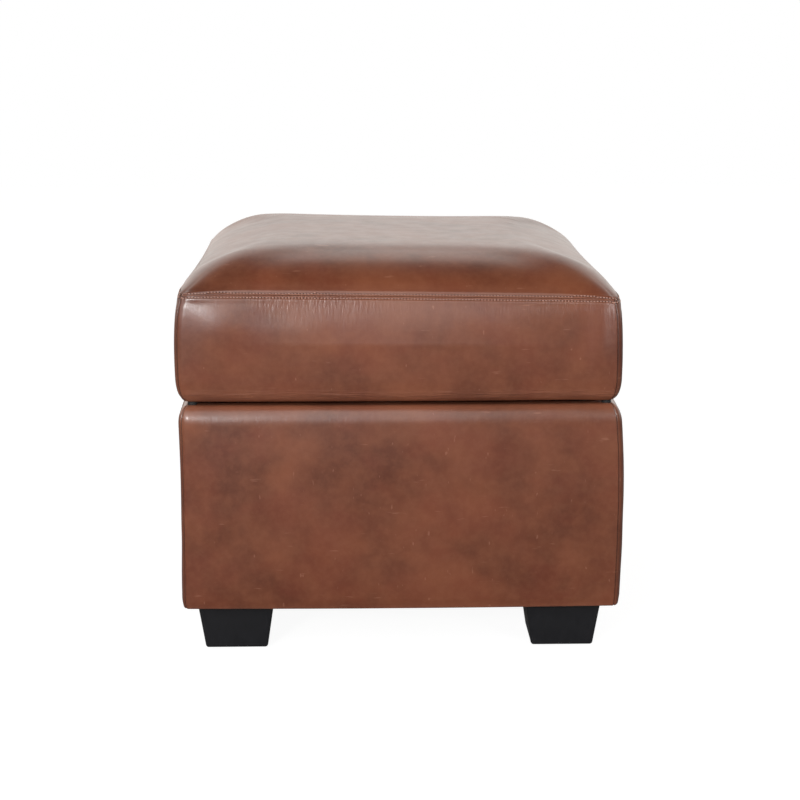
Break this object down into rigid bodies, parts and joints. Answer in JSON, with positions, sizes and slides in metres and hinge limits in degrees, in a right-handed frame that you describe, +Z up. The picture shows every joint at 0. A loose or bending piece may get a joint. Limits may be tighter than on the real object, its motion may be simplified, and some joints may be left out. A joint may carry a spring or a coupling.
{
  "type": "storage ottoman",
  "caption": "Square leather storage ottoman: upholstered box on block feet, thick padded lid hinged at the back with gas struts.",
  "frame": {"origin": "floor level under the middle of the ottoman", "axes": "+Z up, front faces -Y, +X to the right seen from the front"},
  "size_m": [0.5738, 0.5739, 0.516],
  "materials": {
    "brown_leather": "mottled reddish-brown pull-up leather, semi-gloss, fine grain",
    "padding_foam": "cut polyurethane foam",
    "white_wadding": "soft polyester wadding",
    "black_cloth": "black non-woven cloth",
    "plywood": "bare plywood",
    "black_wood": "black satin lacquer on solid wood",
    "nylon": "off-white nylon",
    "zinc_steel": "bright zinc plate",
    "black_paint": "black painted tube",
    "polished_rod": "polished piston rod",
    "strut_plastic": "black moulded plastic",
    "black_rubber": "black rubber"
  },
  "bodies": {
    "base": {"back_panel": "plywood", "base_cover_back": "brown_leather", "base_cover_front": "brown_leather", "base_cover_left": "brown_leather", "base_cover_right": "brown_leather", "base_hardware_screws": "zinc_steel", "base_padding_back": "padding_foam", "base_padding_front": "padding_foam", "base_padding_left": "padding_foam", "base_padding_right": "padding_foam", "corner_block_back_left": "plywood", "corner_block_back_right": "plywood", "corner_block_front_left": "plywood", "corner_block_front_right": "plywood", "dust_cover": "black_cloth", "dust_cover_staples": "zinc_steel", "floor_cleats": "plywood", "floor_panel": "plywood", "foot_back_left": "black_wood", "foot_back_right": "black_wood", "foot_bolts": "zinc_steel", "foot_front_left": "black_wood", "foot_front_right": "black_wood", "foot_glides": "nylon", "foot_tee_nuts": "zinc_steel", "frame_screws": "zinc_steel", "front_panel": "plywood", "hinge_base_leaf_left": "zinc_steel", "hinge_base_leaf_right": "zinc_steel", "hinge_pins": "zinc_steel", "left_panel": "plywood", "right_panel": "plywood", "rim_bumpers": "black_rubber", "storage_liner": "black_cloth", "strut_base_bracket_left": "zinc_steel", "strut_base_bracket_right": "zinc_steel"},
    "lid": {"hinge_lid_leaf_left": "zinc_steel", "hinge_lid_leaf_right": "zinc_steel", "lid_board": "plywood", "lid_cover_back": "brown_leather", "lid_cover_front": "brown_leather", "lid_cover_left": "brown_leather", "lid_cover_right": "brown_leather", "lid_cover_top": "brown_leather", "lid_foam_core": "padding_foam", "lid_hardware_screws": "zinc_steel", "lid_underside_lining": "black_cloth", "lid_wadding": "white_wadding", "strut_lid_bracket_left": "zinc_steel", "strut_lid_bracket_right": "zinc_steel"},
    "strut_cylinder_left": {"strut_cylinder_left": "black_paint", "strut_cylinder_socket_left": "strut_plastic"},
    "strut_cylinder_right": {"strut_cylinder_right": "black_paint", "strut_cylinder_socket_right": "strut_plastic"},
    "strut_rod_left": {"strut_piston_left": "strut_plastic", "strut_rod_left": "polished_rod", "strut_rod_socket_left": "strut_plastic"},
    "strut_rod_right": {"strut_piston_right": "strut_plastic", "strut_rod_right": "polished_rod", "strut_rod_socket_right": "strut_plastic"}
  },
  "joints": [
    {"name": "lid_hinge", "type": "hinge", "parent": "base", "child": "lid", "pos_m": [0, 0.2835, 0.33125], "axis": [-1, 0, 0], "range_deg": [0, 90]},
    {"name": "strut_foot_left", "type": "hinge", "parent": "base", "child": "strut_cylinder_left", "pos_m": [-0.238, 0.23092, 0.12794], "axis": [-1, 0, 0], "range_deg": [0, 45]},
    {"name": "strut_head_left", "type": "hinge", "parent": "lid", "child": "strut_rod_left", "pos_m": [-0.238, 0.07465, 0.3093], "axis": [-1, 0, 0], "range_deg": [-45, 0]},
    {"name": "strut_foot_right", "type": "hinge", "parent": "base", "child": "strut_cylinder_right", "pos_m": [0.238, 0.23092, 0.12794], "axis": [-1, 0, 0], "range_deg": [0, 45]},
    {"name": "strut_head_right", "type": "hinge", "parent": "lid", "child": "strut_rod_right", "pos_m": [0.238, 0.07465, 0.3093], "axis": [-1, 0, 0], "range_deg": [-45, 0]}
  ],
  "couplings": [
    {"joint": "strut_foot_left", "follows": "lid_hinge", "ratio": 0.5},
    {"joint": "strut_head_left", "follows": "lid_hinge", "ratio": -0.5},
    {"joint": "strut_foot_right", "follows": "lid_hinge", "ratio": 0.5},
    {"joint": "strut_head_right", "follows": "lid_hinge", "ratio": -0.5}
  ]
}
